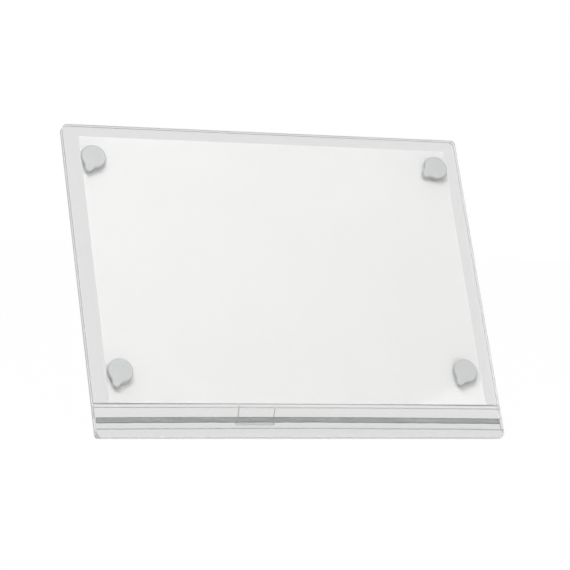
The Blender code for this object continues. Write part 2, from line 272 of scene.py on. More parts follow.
def cut_acrylic(name, colour, clear_share, lines_along):
    """The sawn and lightly polished edge faces: satin, with faint cutter lines."""
    material, tree, shader, vector = new_material(name)
    shader.inputs["Transmission Weight"].default_value = clear_share
    shader.inputs["IOR"].default_value = ACRYLIC_IOR
    stretch = put(add_node(tree, "ShaderNodeMapping"), Scale=lines_along)
    tree.links.new(vector, stretch.inputs["Vector"])
    lines = put(add_node(tree, "ShaderNodeTexNoise"), Scale=5.0, Detail=3.0)
    tree.links.new(stretch.outputs["Vector"], lines.inputs["Vector"])
    darker = tuple(channel * 0.96 for channel in colour)
    tree.links.new(tone_between(tree, lines.outputs["Fac"], darker, colour), shader.inputs["Base Color"])
    rough = put(add_node(tree, "ShaderNodeMapRange"), From_Min=0.35, From_Max=0.75, To_Min=0.28,
                To_Max=0.38)
    tree.links.new(lines.outputs["Fac"], rough.inputs["Value"])
    tree.links.new(rough.outputs["Result"], shader.inputs["Roughness"])
    bump_into(tree, shader, lines.outputs["Fac"], 0.000003)
    let_lamps_through(tree, shader, (0.90, 0.90, 0.898))
    return material


def white_card():
    material, tree, shader, vector = new_material("white_card")
    grain = place_group(tree, FINE_GRAIN, vector, Grain_Size=1600.0, Drift_Size=7.0)
    colour = tone_between(tree, grain.outputs["Drift"], (0.872, 0.870, 0.864), (0.892, 0.891, 0.886))
    tree.links.new(colour, shader.inputs["Base Color"])
    rough = put(add_node(tree, "ShaderNodeMapRange"), To_Min=0.48, To_Max=0.62)
    tree.links.new(grain.outputs["Grain"], rough.inputs["Value"])
    tree.links.new(rough.outputs["Result"], shader.inputs["Roughness"])
    shader.inputs["Specular IOR Level"].default_value = 0.3
    bump_into(tree, shader, grain.outputs["Grain"], 0.00001)
    return material


def soft_grey_rubber():
    material, tree, shader, vector = new_material("soft_grey_rubber")
    grain = place_group(tree, FINE_GRAIN, vector, Grain_Size=2400.0, Drift_Size=90.0)
    body = tone_between(tree, grain.outputs["Drift"], (0.560, 0.572, 0.566), (0.600, 0.611, 0.606))
    wear = place_group(tree, EDGE_WEAR, vector, Break_Size=700.0)
    worn = add_node(tree, "ShaderNodeMix", data_type="RGBA")
    tree.links.new(wear.outputs["Wear"], worn.inputs["Factor"])
    tree.links.new(body, worn.inputs["A"])
    worn.inputs["B"].default_value = (0.655, 0.665, 0.66, 1.0)
    tree.links.new(worn.outputs["Result"], shader.inputs["Base Color"])
    rough = put(add_node(tree, "ShaderNodeMapRange"), To_Min=0.52, To_Max=0.72)
    tree.links.new(grain.outputs["Grain"], rough.inputs["Value"])
    tree.links.new(rough.outputs["Result"], shader.inputs["Roughness"])
    shader.inputs["Specular IOR Level"].default_value = 0.35
    bump_into(tree, shader, grain.outputs["Grain"], 0.00002)
    return material


def grey_foam(name, dark, light, streak):
    """Foam tape: open cells, with paler stretches along it where the adhesive has not wetted."""
    material, tree, shader, vector = new_material(name)
    grain = place_group(tree, FINE_GRAIN, vector, Grain_Size=2600.0, Drift_Size=60.0)
    along = put(add_node(tree, "ShaderNodeMapping"), Scale=(22.0, 400.0, 400.0))
    tree.links.new(vector, along.inputs["Vector"])
    wetting = put(add_node(tree, "ShaderNodeTexNoise"), Scale=1.6, Detail=3.0)
    tree.links.new(along.outputs["Vector"], wetting.inputs["Vector"])
    patchy = put(add_node(tree, "ShaderNodeMapRange"), From_Min=0.5, From_Max=0.72, To_Max=streak)
    tree.links.new(wetting.outputs["Fac"], patchy.inputs["Value"])
    colour = tone_between(tree, patchy.outputs["Result"], dark, light)
    tree.links.new(colour, shader.inputs["Base Color"])
    rough = put(add_node(tree, "ShaderNodeMapRange"), To_Min=0.7, To_Max=0.95)
    tree.links.new(grain.outputs["Grain"], rough.inputs["Value"])
    tree.links.new(rough.outputs["Result"], shader.inputs["Roughness"])
    bump_into(tree, shader, grain.outputs["Grain"], 0.00008)
    return material


def plated_metal(name, colour, dull, grain_scale):
    """Plated steel: stamping grain across, dulled and broken along the edges."""
    material, tree, shader, vector = new_material(name)
    shader.inputs["Metallic"].default_value = 1.0
    stretch = put(add_node(tree, "ShaderNodeMapping"), Scale=grain_scale)
    tree.links.new(vector, stretch.inputs["Vector"])
    brushed = put(add_node(tree, "ShaderNodeTexNoise"), Scale=12.0, Detail=3.0)
    tree.links.new(stretch.outputs["Vector"], brushed.inputs["Vector"])
    wear = place_group(tree, EDGE_WEAR, vector, Break_Size=900.0)
    tone = add_node(tree, "ShaderNodeMath", operation="MULTIPLY_ADD")
    tree.links.new(wear.outputs["Wear"], tone.inputs[0])
    tone.inputs[1].default_value = -0.5
    tree.links.new(brushed.outputs["Fac"], tone.inputs[2])
    tree.links.new(tone_between(tree, tone.outputs["Value"], dull, colour), shader.inputs["Base Color"])
    rough = put(add_node(tree, "ShaderNodeMapRange"), To_Min=0.22, To_Max=0.48)
    tree.links.new(brushed.outputs["Fac"], rough.inputs["Value"])
    tree.links.new(rough.outputs["Result"], shader.inputs["Roughness"])
    bump_into(tree, shader, brushed.outputs["Fac"], 0.00001)
    return material


def clear_rubber():
    material, tree, shader, vector = new_material("clear_rubber")
    shader.inputs["Base Color"].default_value = (0.86, 0.88, 0.87, 1.0)
    shader.inputs["Transmission Weight"].default_value = 0.85
    shader.inputs["IOR"].default_value = 1.41
    grain = place_group(tree, FINE_GRAIN, vector, Grain_Size=1800.0, Drift_Size=80.0)
    rough = put(add_node(tree, "ShaderNodeMapRange"), To_Min=0.22, To_Max=0.42)
    tree.links.new(grain.outputs["Grain"], rough.inputs["Value"])
    tree.links.new(rough.outputs["Result"], shader.inputs["Roughness"])
    bump_into(tree, shader, grain.outputs["Grain"], 0.00002)
    let_lamps_through(tree, shader, (0.85, 0.87, 0.86))
    return material


SHEET_FACE = clear_acrylic("acrylic_face", (0.962, 0.963, 0.961), 0.0, 0.035)
SIDE_EDGE = cut_acrylic("acrylic_sawn_end", (0.80, 0.805, 0.80), 0.35, (240.0, 12.0, 240.0))
# A paler copy of the sawn satin: painted light on the rail's underside and on the sheets' upper edges.
LIT_SAWN_EDGE = cut_acrylic("acrylic_sawn_edge_painted_light", (0.90, 0.90, 0.895), 0.25, (240.0, 12.0, 240.0))
LEG_FACE = clear_acrylic("acrylic_leg_face", (0.995, 0.995, 0.993), 0.0, 0.02)
LEG_EDGE = cut_acrylic("acrylic_frosted_leg_edge", (0.96, 0.96, 0.955), 0.1, (240.0, 240.0, 12.0))
# Dark satin for the scored groove and the channel's floor, roof and fillet: painted shade in those
# creases.
CORNER_SHADE_SATIN = cut_acrylic("acrylic_milled_corner_painted_shade", (0.62, 0.63, 0.625), 0.5, (90.0, 300.0, 300.0))
# Tinted darker and greener than the sheet's faces: painted shade in the open channel behind the rail's
# front wall.
CHANNEL_SHADE_TINT = clear_acrylic("acrylic_milled_channel_painted_shade", (0.88, 0.905, 0.898), 0.05, 0.11)
CARD = white_card()
PAD_RUBBER = soft_grey_rubber()
FOAM = grey_foam("grey_foam_tape", (0.365, 0.37, 0.368), (0.48, 0.486, 0.483), 0.8)
HINGE_FOAM = grey_foam("hinge_foam_tape", (0.30, 0.31, 0.31), (0.40, 0.41, 0.41), 0.6)
ZINC = plated_metal("bright_zinc", (0.78, 0.78, 0.79), (0.58, 0.58, 0.60), (4.0, 40.0, 40.0))
NICKEL = plated_metal("nickel_plate", (0.72, 0.70, 0.67), (0.55, 0.53, 0.50), (30.0, 30.0, 30.0))
CLEAR_RUBBER = clear_rubber()


# ---------------------------------------------------------------- mesh building blocks
def box_bm(low, high):
    bm = bmesh.new()
    bmesh.ops.create_cube(bm, size=1.0)
    low, high = Vector(low), Vector(high)
    bmesh.ops.scale(bm, vec=high - low, verts=bm.verts)
    bmesh.ops.translate(bm, vec=(low + high) / 2, verts=bm.verts)
    return bm


def rod_bm(radius, start, end, steps=48, end_radius=None):
    bm = bmesh.new()
    start, end = Vector(start), Vector(end)
    along = end - start
    place = Matrix.Translation((start + end) / 2) @ along.to_track_quat("Z", "Y").to_matrix().to_4x4()
    bmesh.ops.create_cone(bm, cap_ends=True, segments=steps, radius1=radius,
                          radius2=radius if end_radius is None else end_radius,
                          depth=along.length, matrix=place)
    return bm


def bevel_edges(bm, edges, width, segments):
    bmesh.ops.bevel(bm, geom=edges, offset=width, segments=segments, profile=0.5, affect="EDGES",
                    material=-1)


def round_corners(bm, radius, keep, segments=10):
    """Rounds the edges that run along Y and pass the keep test."""
    edges = []
    for edge in bm.edges:
        a, b = edge.verts[0].co, edge.verts[1].co
        if abs(a.x - b.x) < WELD and abs(a.z - b.z) < WELD and keep(a):
            edges.append(edge)
    bevel_edges(bm, edges, radius, segments)


def soften(bm, width, segments=2, above=40.0):
    """Bevels every edge whose faces meet at more than an angle."""
    edges = [edge for edge in bm.edges
             if len(edge.link_faces) == 2 and edge.calc_face_angle() > radians(above)]
    bevel_edges(bm, edges, width, segments)


def object_from(bm, name):
    mesh = bpy.data.meshes.new(name)
    bm.normal_update()
    bm.to_mesh(mesh)
    bm.free()
    obj = bpy.data.objects.new(name, mesh)
    bpy.context.scene.collection.objects.link(obj)
    return obj


def carve(bm, others, operation="DIFFERENCE"):
    """Joins, keeps or cuts away other solids, and gives back the result as a bmesh."""
    base = object_from(bm, "carved")
    helpers = [object_from(other, "carver") for other in others]
    for helper in helpers:
        modifier = base.modifiers.new("carve", "BOOLEAN")
        modifier.operation = operation
        modifier.solver = "EXACT"
        modifier.object = helper
    bpy.context.view_layer.update()
    mesh = bpy.data.meshes.new_from_object(base.evaluated_get(bpy.context.evaluated_depsgraph_get()))
    result = bmesh.new()
    result.from_mesh(mesh)
    bpy.data.meshes.remove(mesh)
    for used in [base, *helpers]:
        used_mesh = used.data
        bpy.data.objects.remove(used)
        bpy.data.meshes.remove(used_mesh)
    bmesh.ops.remove_doubles(result, verts=result.verts, dist=WELD)
    flat_edges = [edge for edge in result.edges
                  if len(edge.link_faces) == 2 and edge.calc_face_angle() < FLAT]
    bmesh.ops.dissolve_edges(result, edges=flat_edges, use_verts=True)
    return result


def slice_level(bm, height, place, keep_above=True):
    """Cuts a solid along a plane that is level once the piece is in its place, and closes it."""
    back = place.inverted()
    up = back.to_3x3() @ Vector((0.0, 0.0, 1.0))
    geometry = bm.verts[:] + bm.edges[:] + bm.faces[:]
    cut = bmesh.ops.bisect_plane(bm, geom=geometry, dist=FINE, plane_co=back @ Vector((0.0, 0.0, height)),
                                 plane_no=-up if keep_above else up, clear_outer=True)
    rim = [item for item in cut["geom_cut"] if isinstance(item, bmesh.types.BMEdge)]
    bmesh.ops.holes_fill(bm, edges=rim)


def turned_bm(profile, centre, axis, steps=64):
    """A turned solid. The profile lists (radius, distance along the axis) from end to end."""
    axis = Vector(axis)
    side = axis.orthogonal().normalized()
    bm = bmesh.new()
    points = [bm.verts.new(Vector(centre) + side * radius + axis * along)
              for radius, along in profile]
    edges = [bm.edges.new(pair) for pair in zip(points, points[1:])]
    bmesh.ops.spin(bm, geom=points + edges, cent=centre, axis=axis, angle=2 * pi, steps=steps,
                   use_merge=True)
    bmesh.ops.remove_doubles(bm, verts=bm.verts, dist=FINE)
    bmesh.ops.recalc_face_normals(bm, faces=bm.faces)
    return bm


def finish_piece(name, bm, materials, body, node, place=PANEL_PLACE, smooth=None,
                 material_of=None):
    """Puts a piece in its place and makes it ride with its body, instead of a CAD node."""
    if material_of:
        bm.normal_update()
        for face in bm.faces:
            face.material_index = material_of(face)
    bmesh.ops.transform(bm, matrix=place, verts=bm.verts)
    obj = object_from(bm, name)
    for material in materials:
        obj.data.materials.append(material)
    if smooth:
        obj.data.shade_smooth()
        obj.data.set_sharp_from_angle(angle=radians(smooth))
    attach(obj, body)
    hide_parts(node)


ACRYLIC = [SHEET_FACE, LIT_SAWN_EDGE, SIDE_EDGE]
RAIL = [*ACRYLIC, CHANNEL_SHADE_TINT, CORNER_SHADE_SATIN]
FACE, LIT_EDGE, SAWN, CHANNEL, CORNER_SHADE = range(5)     # their places in those lists


def acrylic_face(face):
    """The sheet's faces, its upper edge in a paler copy of the sawn satin, which is painted light, and
    its sawn ends and foot.
    """
    if abs(face.normal.y) > 0.9:
        return FACE
    return SAWN if abs(face.normal.x) > 0.3 or face.normal.z < -0.3 else LIT_EDGE


# ---------------------------------------------------------------- clear panel
KEEPER_POCKET_R = 0.0063
KEEPER_POCKET_DEPTH = 0.0015
POCKET_PAST = 0.001             # how far a pocket's cutter stands out of the piece


def pad_centre(place):
    low, high = laid_box(f"magnet_{place}")
    return (low + high) / 2


def make_back_panel():
    bm = box_bm(BACK_LOW, BACK_HIGH)
    round_corners(bm, CORNER_R, lambda co: True)
    slice_level(bm, cad_low.z, PANEL_PLACE)
    pockets = []
    for place in PLACES:
        centre = pad_centre(place)
        front = Vector((centre.x, BACK_LOW.y - POCKET_PAST, centre.z))
        rear = Vector((centre.x, BACK_LOW.y + KEEPER_POCKET_DEPTH, centre.z))
        pockets.append(rod_bm(KEEPER_POCKET_R, front, rear, steps=64))
    bm = carve(bm, pockets)
    soften(bm, ARRIS)
    finish_piece("clear_back_panel", bm, ACRYLIC, "panel", "back_panel",
                 material_of=acrylic_face)


def make_front_cover():
    middle = (COVER_LOW.z + COVER_HIGH.z) / 2
    bm = box_bm(COVER_LOW, COVER_HIGH)
    round_corners(bm, CORNER_R, lambda co: co.z > middle)
    soften(bm, ARRIS)
    finish_piece("clear_front_cover", bm, ACRYLIC, "cover", "front_cover",
                 material_of=acrylic_face)


RAIL_BOW = 0.0008
BOW_STATIONS = 24
BOW_FADE_TOP = 0.4              # shares of the rail's height over which the lift fades out
BOW_FADE_FOOT = 0.2
FOOT_DROOP = 0.4                # share of the ends' droop that is left at the rail's foot


def bow_rail(bm):
    """The rail was glued by hand: its middle rides up and its ends droop."""
    for step in range(1, BOW_STATIONS):
        geometry = bm.verts[:] + bm.edges[:] + bm.faces[:]
        at = Vector((HALF_W * (2 * step / BOW_STATIONS - 1), 0.0, 0.0))
        bmesh.ops.bisect_plane(bm, geom=geometry, dist=FINE, plane_co=at, plane_no=(1.0, 0.0, 0.0))
    for vert in bm.verts:
        height = (vert.co.z - RAIL_LOW.z) / (RAIL_HIGH.z - RAIL_LOW.z)
        lift = min(1.0, (1.0 - height) / BOW_FADE_TOP, height / BOW_FADE_FOOT)
        droop = FOOT_DROOP + (1.0 - FOOT_DROOP) * min(1.0, height / BOW_FADE_FOOT)
        vert.co.z += RAIL_BOW * (lift - droop * (vert.co.x / HALF_W) ** 2)


RAIL_WALL_T = 0.0016
RAIL_BEAD_R = 0.0017
RAIL_BEAD_PROUD = 0.0006
CHANNEL_LOW = 0.0062
CHANNEL_HIGH = 0.0151
CHANNEL_FILLET = 0.0008
GROOVE_UP = 0.0223              # scored line under the bead
GROOVE_HALF = 0.0003
RAIL_CUT_PAST = 0.005
RAIL_HEAD_UP = CHANNEL_HIGH + 0.003     # above this height the rail is solid
RAIL_SOLE_H = 0.001             # up to this height a face that isn't upright is the underside
WALL_SKIN = 0.0001


def make_bottom_rail():
    """The rail's front face lies in the plane of the cover's, and only its bead stands proud."""
    front, rear = COVER_LOW.y, RAIL_HIGH.y
    bottom, top = RAIL_LOW.z, RAIL_HIGH.z
    bm = box_bm((RAIL_LOW.x, front, bottom), (RAIL_HIGH.x, rear, top))
    round_corners(bm, CORNER_R, lambda co: co.z < (bottom + top) / 2)
    wall_rear = front + RAIL_WALL_T
    left_past, right_past = RAIL_LOW.x - RAIL_CUT_PAST, RAIL_HIGH.x + RAIL_CUT_PAST
    channel = box_bm((left_past, wall_rear, bottom + CHANNEL_LOW),
                     (right_past, rear + RAIL_CUT_PAST, bottom + CHANNEL_HIGH))
    bm = carve(bm, [channel])
    inner = [edge for edge in bm.edges
             if all(abs(vert.co.y - wall_rear) < ON_PLANE
                    and abs(vert.co.z - bottom - CHANNEL_LOW) < ON_PLANE for vert in edge.verts)]
    bevel_edges(bm, inner, CHANNEL_FILLET, 6)
    bead_y = front + RAIL_BEAD_R - RAIL_BEAD_PROUD
    bead_z = top - RAIL_BEAD_R
    bead = rod_bm(RAIL_BEAD_R, (RAIL_LOW.x, bead_y, bead_z), (RAIL_HIGH.x, bead_y, bead_z), steps=40)
    bm = carve(bm, [bead], "UNION")
    groove = rod_bm(GROOVE_HALF, (left_past, front, bottom + GROOVE_UP),
                    (right_past, front, bottom + GROOVE_UP), steps=16)
    bm = carve(bm, [groove])
    soften(bm, ARRIS)
    bow_rail(bm)

    def rail_material(face):
        centre = face.calc_center_median()
        above = centre.z - bottom
        upright = abs(face.normal.y) > 0.97
        if abs(face.normal.x) > 0.3:
            return SAWN
        # The underside takes the paler copy of the sawn satin: painted light from the floor.
        if above < RAIL_SOLE_H and not upright:
            return LIT_EDGE
        if above > RAIL_HEAD_UP:
            if face.normal.z > 0.9:
                return SAWN
            # The groove's faces take the dark satin: painted shade in the crease.
            return CORNER_SHADE if abs(above - GROOVE_UP) < GROOVE_HALF else FACE
        if centre.y < wall_rear - WALL_SKIN:
            return FACE
        # Upright faces here take the darker channel tint and the rest take the dark satin: both are
        # painted shade in the channel.
        return CHANNEL if upright else CORNER_SHADE

    finish_piece("clear_bottom_rail", bm, RAIL, "panel", "bottom_rail",
                 material_of=rail_material)


TAPE_CUTS = 160
TAPE_WAVES = ((0.00005, 7.0, 0.0), (0.00004, 2.3, 1.0), (0.00006, 31.0, 2.0))
TAPE_TRIM = 0.00012             # most that the knife took off either long edge
TAPE_TRIM_LENGTH = 3.1          # mm to a radian


def make_foam_strip():
    """Hand-cut tape: its long edges wander. A wave is its height, its mm to a radian and its phase."""
    bm = box_bm(TAPE_LOW, TAPE_HIGH)
    long_edges = [edge for edge in bm.edges
                  if abs(edge.verts[0].co.x - edge.verts[1].co.x) > 0.1]
    bmesh.ops.subdivide_edges(bm, edges=long_edges, cuts=TAPE_CUTS, use_grid_fill=True)
    middle = (TAPE_LOW.z + TAPE_HIGH.z) / 2
    for vert in bm.verts:
        x = vert.co.x * 1000
        wander = sum(height * sin(x / length + phase) for height, length, phase in TAPE_WAVES)
        above = 1 if vert.co.z > middle else -1
        vert.co.z += wander - above * TAPE_TRIM * (1 + sin(x / TAPE_TRIM_LENGTH + above)) / 2
    soften(bm, 0.00008, segments=1, above=60.0)
    bow_rail(bm)
    finish_piece("rail_foam_strip", bm, [FOAM], "panel", "rail_bond_tape")


# ---------------------------------------------------------------- sheet of card
CARD_BOW = 0.00009
CARD_THICKNESS_SHARE = 0.8      # of the CAD sheet's thickness, which leaves room for the bow


def make_card():
    """The sheet bows by about a tenth of a millimetre inside its gap."""
    size = CARD_HIGH - CARD_LOW
    bm = bmesh.new()
    bmesh.ops.create_grid(bm, x_segments=72, y_segments=52, size=0.5,
                          matrix=Matrix.Rotation(radians(90.0), 4, "X"))
    bmesh.ops.scale(bm, vec=(size.x, 1.0, size.z), verts=bm.verts)
    middle = (CARD_LOW + CARD_HIGH) / 2
    for vert in bm.verts:
        across, up = vert.co.x / size.x, vert.co.z / size.z
        waves = sin(7.0 * across + 1.3) * cos(4.0 * up) + 0.6 * sin(11.0 * up + 2.0 * across)
        vert.co.y = CARD_BOW * waves
    bmesh.ops.translate(bm, vec=middle, verts=bm.verts)
    bmesh.ops.recalc_face_normals(bm, faces=bm.faces)
    bmesh.ops.solidify(bm, geom=bm.faces[:], thickness=size.y * CARD_THICKNESS_SHARE)
    bmesh.ops.recalc_face_normals(bm, faces=bm.faces)
    finish_piece("white_display_sheet", bm, [CARD], "card", "display_card", smooth=30)


# ---------------------------------------------------------------- pads, magnets and keepers
PAD_TAB_R = 0.0032
PAD_EDGE = 0.0014
PAD_NECK_START = 0.0079         # from the disc's centre, towards the tab
PAD_NECK_HALF = 0.0046
PAD_EDGE_STEPS = 8
MAGNET_CHAMFER = 0.0003
KEEPER_CHAMFER = 0.00018
KEEPER_DIMPLE = ((0.0016, 0.0), (0.0010, 0.0003), (0.0, 0.00035))    # radius and depth, inwards


def make_pad(place):
    low, high = laid_box(f"pad_{place}")
    centre = pad_centre(place)
    radius = high.z - centre.z
    front, rear = low.y, high.y
    flat_centre = Vector((centre.x, centre.z))
    back = PANEL_PLACE.inverted()
    outline = [back @ vert.co for vert in frame["nodes"][f"pad_{place}"].data.vertices]
    tip = max((Vector((point.x, point.z)) - flat_centre for point in outline),
              key=lambda offset: offset.length)
    ear = flat_centre + tip.normalized() * (tip.length - PAD_TAB_R)
    disc = rod_bm(radius, (centre.x, rear, centre.z), (centre.x, front, centre.z), steps=96)
    tab = rod_bm(PAD_TAB_R, (ear.x, rear, ear.y), (ear.x, front, ear.y), steps=48)
    neck = box_bm((PAD_NECK_START, front, -PAD_NECK_HALF), (tip.length - PAD_TAB_R, rear, PAD_NECK_HALF))
    for vert in neck.verts:
        if vert.co.x > PAD_NECK_START + GAP:
            vert.co.z *= PAD_TAB_R / PAD_NECK_HALF
    turn = Matrix.Rotation(-atan2(tip.y, tip.x), 4, "Y")
    bmesh.ops.transform(neck, matrix=turn, verts=neck.verts)
    bmesh.ops.translate(neck, vec=(centre.x, 0.0, centre.z), verts=neck.verts)
    bm = carve(disc, [tab, neck], "UNION")
    magnet_low, magnet_high = laid_box(f"magnet_{place}")
    pocket_r = (magnet_high.x - magnet_low.x) / 2 + GAP
    pocket = rod_bm(pocket_r, (centre.x, rear + POCKET_PAST, centre.z),
                    (centre.x, magnet_low.y - GAP, centre.z), steps=48)
    bm = carve(bm, [pocket])
    rims = [edge for edge in bm.edges
            if len(edge.link_faces) == 2 and edge.calc_face_angle() > radians(60.0)
            and all(abs(vert.co.y - front) < ON_PLANE for vert in edge.verts)]
    bevel_edges(bm, rims, PAD_EDGE, PAD_EDGE_STEPS)
    finish_piece(f"soft_pad_{place}", bm, [PAD_RUBBER], f"corner_pad_{place}", f"pad_{place}",
                 smooth=35)


def chamfered_disc(node, chamfer, rear_face=((0.0, 0.0),)):
    """A turned disc that fills a CAD node's box, with its rear face's points as radius and depth."""
    low, high = laid_box(node)
    radius, half = (high.x - low.x) / 2, (high.y - low.y) / 2
    profile = [(0.0, -half), (radius - chamfer, -half), (radius, -half + chamfer),
               (radius, half - chamfer), (radius - chamfer, half)]
    profile += [(reach, half - depth) for reach, depth in rear_face]
    return turned_bm(profile, (low + high) / 2, (0.0, 1.0, 0.0))


def make_magnet(place):
    bm = chamfered_disc(f"magnet_{place}", MAGNET_CHAMFER)
    finish_piece(f"pad_magnet_{place}", bm, [NICKEL], f"corner_pad_{place}", f"magnet_{place}",
                 smooth=30)


def make_keeper(place):
    """A stamped disc with a shallow centre dimple on its rear, which shows through the panel."""
    bm = chamfered_disc(f"keeper_disc_{place}", KEEPER_CHAMFER, KEEPER_DIMPLE)
    finish_piece(f"keeper_plate_{place}", bm, [ZINC], "panel", f"keeper_disc_{place}",
                 smooth=30)


# ---------------------------------------------------------------- hinge
LEAF_T = 0.0015
KNUCKLE_R = 0.003
PIN_R = 0.0012
PIN_BORE_R = 0.0013
CENTRE_KNUCKLE_W = 0.016
SIDE_GAP = 0.0004
LEAF_CORNER_R = 0.003
SCREW_HOLE_R = 0.0016
STOP_LUG_OFFSET = 0.001
STOP_LUG_H = 0.0046
LEAF_TOP_R = 0.001              # at the leg leaf's shoulders, where its neck starts
LEAF_CUT_PAST = 0.002
STAMPED_EDGE = 0.00018
HINGE_PAD_CORNER_R = 0.001
HINGE_PAD_EDGE = 0.0001
PIN_HEAD_T = 0.0008
DRILL_REACH = 0.02
SHANK_R = 0.0013
SHANK_CHAMFER = 0.0003
HEAD_SIDE_SHARE = 0.3           # of the screw head's height, below its dome
DOME_STEPS = 6
DOME_SHARE = 0.98
DOME_CREST_R = 0.00002
SOCKET_R = 0.00105
SOCKET_DEPTH = 0.0009
SOCKET_PAST = 0.0005


def make_hinge_pad():
    low, high = laid_box("hinge_bond_pad")
    bm = box_bm(low, high)
    round_corners(bm, HINGE_PAD_CORNER_R, lambda co: True, segments=3)
    soften(bm, HINGE_PAD_EDGE, segments=1)
    finish_piece("hinge_foam_pad", bm, [HINGE_FOAM], "panel", "hinge_bond_pad")


def make_fixed_leaf():
    low, high = laid_box("hinge_leaf_fixed")
    pad_low = laid_box("hinge_bond_pad")[0]
    plate = box_bm((low.x, low.y, AXIS_LAID.z), (high.x, low.y + LEAF_T, high.z))
    round_corners(plate, LEAF_CORNER_R, lambda co: co.z > pad_low.z)
    inner = CENTRE_KNUCKLE_W / 2 + SIDE_GAP
    past = high.x + LEAF_CUT_PAST
    notch = box_bm((-inner, low.y - past, AXIS_LAID.z - past), (inner, low.y + past, pad_low.z))
    bm = carve(plate, [notch])
    knuckles = []
    for side in (-1, 1):
        ends = sorted((side * inner, side * high.x))
        knuckles.append(rod_bm(KNUCKLE_R, (ends[0], AXIS_LAID.y, AXIS_LAID.z),
                               (ends[1], AXIS_LAID.y, AXIS_LAID.z)))
    bm = carve(bm, knuckles, "UNION")
    bore = rod_bm(PIN_BORE_R, (-past, AXIS_LAID.y, AXIS_LAID.z), (past, AXIS_LAID.y, AXIS_LAID.z))
    bm = carve(bm, [bore])
    soften(bm, STAMPED_EDGE, above=50.0)
    bmesh.ops.triangulate(bm, faces=[face for face in bm.faces if len(face.verts) > 4])
    finish_piece("fixed_hinge_leaf", bm, [ZINC], "panel", "hinge_leaf_fixed",
                 smooth=20)


def make_pin():
    low, high = laid_box("hinge_pin")
    head_r = (high.z - low.z) / 2
    half = (high.x - low.x) / 2
    head = [(0.0, 0.0), (head_r * 0.6, PIN_HEAD_T * 0.12), (head_r, PIN_HEAD_T * 0.6),
            (head_r, PIN_HEAD_T), (PIN_R, PIN_HEAD_T)]
    profile = [(radius, -half + inward) for radius, inward in head]
    profile += [(radius, half - inward) for radius, inward in reversed(head)]
    bm = turned_bm(profile, (low + high) / 2, (1.0, 0.0, 0.0), steps=40)
    finish_piece("peened_hinge_pin", bm, [ZINC], "panel", "hinge_pin", smooth=30)


def leg_screw_places():
    for side in ("left", "right"):
        low, high = laid_box(f"leg_screw_{side}", LEG_PLACE)
        yield side, low, high


def screw_holes():
    holes = []
    for _, low, high in leg_screw_places():
        middle = (low + high) / 2
        holes.append(rod_bm(SCREW_HOLE_R, (middle.x, -DRILL_REACH, middle.z),
                            (middle.x, DRILL_REACH, middle.z)))
    return holes


def make_leg_leaf():
    low, high = laid_box("hinge_leaf_leg", LEG_PLACE)
    half = CENTRE_KNUCKLE_W / 2
    plate_top = -(KNUCKLE_R + GAP)
    plate = box_bm((low.x, -LEAF_T / 2, low.z), (high.x, LEAF_T / 2, plate_top))
    round_corners(plate, LEAF_CORNER_R, lambda co: co.z < low.z + LEAF_CORNER_R)
    round_corners(plate, LEAF_TOP_R, lambda co: co.z > plate_top - LEAF_TOP_R, segments=4)
    neck = box_bm((-half, -LEAF_T / 2, plate_top - LEAF_TOP_R), (half, LEAF_T / 2, 0.0))
    knuckle = rod_bm(KNUCKLE_R, (-half, 0.0, 0.0), (half, 0.0, 0.0))
    lug = box_bm((-half, STOP_LUG_OFFSET, 0.0), (half, STOP_LUG_OFFSET + LEAF_T, STOP_LUG_H))
    bm = carve(plate, [neck, knuckle, lug], "UNION")
    past = half + LEAF_CUT_PAST
    bore = rod_bm(PIN_BORE_R, (-past, 0.0, 0.0), (past, 0.0, 0.0))
    bm = carve(bm, [bore, *screw_holes()])
    soften(bm, STAMPED_EDGE, above=50.0)
    finish_piece("leg_hinge_leaf", bm, [ZINC], "leg", "hinge_leaf_leg", LEG_PLACE,
                 smooth=20)


def make_screws():
    """Pan heads with a hexagon socket."""
    for side, low, high in leg_screw_places():
        middle = (low + high) / 2
        head_r = (high.x - low.x) / 2
        head_low = LEAF_T / 2 + GAP
        head_t = high.y - head_low
        profile = [(0.0, low.y), (SHANK_R - SHANK_CHAMFER, low.y), (SHANK_R, low.y + SHANK_CHAMFER),
                   (SHANK_R, head_low), (head_r, head_low),
                   (head_r, head_low + head_t * HEAD_SIDE_SHARE)]
        for step in range(1, DOME_STEPS):
            angle = step / DOME_STEPS * pi / 2
            up = HEAD_SIDE_SHARE + (1.0 - HEAD_SIDE_SHARE) * sin(angle)
            profile.append((head_r * cos(angle) * DOME_SHARE + DOME_CREST_R, head_low + head_t * up))
        profile.append((0.0, high.y))
        bm = turned_bm(profile, (middle.x, 0.0, middle.z), (0.0, 1.0, 0.0), steps=48)
        socket = rod_bm(SOCKET_R, (middle.x, high.y + SOCKET_PAST, middle.z),
                        (middle.x, high.y - SOCKET_DEPTH, middle.z), steps=6)
        bm = carve(bm, [socket])
        finish_piece(f"socket_screw_{side}", bm, [ZINC], "leg", f"leg_screw_{side}",
                     LEG_PLACE, smooth=30)


# ---------------------------------------------------------------- leg and foot
LEG_END_HALF = 0.014
FOOT_LOW, FOOT_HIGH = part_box("leg_foot")
FOOT_HALF_DEPTH = 0.0035
FOOT_CORNER_R = 0.0012
FOOT_EDGE = 0.0004
GRIP_R = 0.00045
GRIP_PITCH = 0.0019
GRIP_PAST = 0.001


